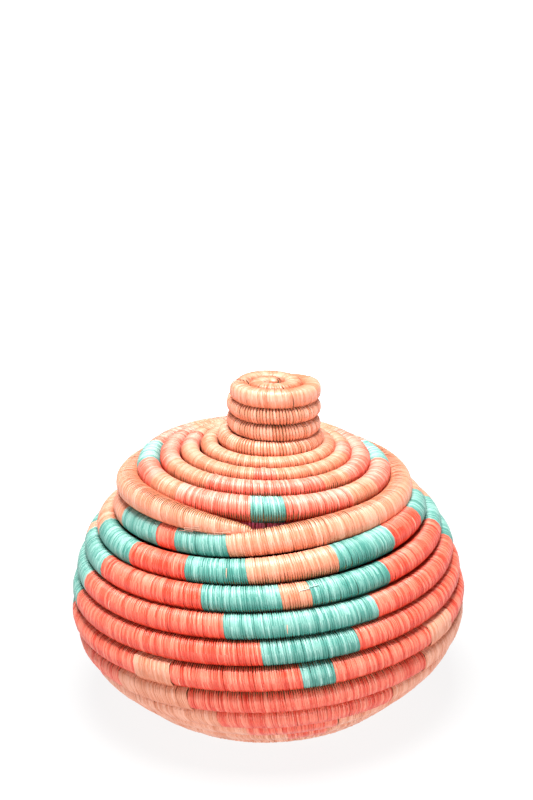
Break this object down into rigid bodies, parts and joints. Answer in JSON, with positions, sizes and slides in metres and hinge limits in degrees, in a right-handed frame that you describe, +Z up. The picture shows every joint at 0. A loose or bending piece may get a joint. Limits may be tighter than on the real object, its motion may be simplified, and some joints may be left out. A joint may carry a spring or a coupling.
{
  "type": "lidded basket",
  "caption": "Round coiled basket in wrapped grass with a bulging body, a narrower mouth and a lift-off lid with a stepped knob.",
  "frame": {"origin": "centre of the bounding box's underside, on the surface that the basket stands on", "axes": "+Z up along the basket's axis and the lid's lift; -Y is the front, where the body's coil ends at the rim"},
  "size_m": [0.1774, 0.1774, 0.1505],
  "materials": {
    "dry_grass": "dry, fibrous",
    "coral_raffia": "dyed raffia, soft sheen",
    "natural_raffia": "undyed raffia, soft sheen",
    "pink_raffia": "dyed raffia, soft sheen"
  },
  "bodies": {
    "body": {"body_base_raffia_wrap": "natural_raffia", "body_heel_raffia_wrap": "natural_raffia", "body_flank_raffia_wrap": "coral_raffia", "body_belly_raffia_wrap": "coral_raffia", "body_wall_raffia_wrap": "coral_raffia", "body_rim_grass_core": "dry_grass", "body_rim_raffia_wrap": "natural_raffia"},
    "lid": {"lid_grass_core": "dry_grass", "lid_edge_raffia_wrap": "coral_raffia", "lid_crown_raffia_wrap": "natural_raffia", "lid_knob_raffia_wrap": "natural_raffia", "lid_ring_grass_core": "dry_grass", "lid_ring_raffia_wrap": "pink_raffia"}
  },
  "joints": [
    {"name": "lid_lift", "type": "slide", "parent": "body", "child": "lid", "axis": [0, 0, 1], "range_m": [0, 0.1]}
  ]
}
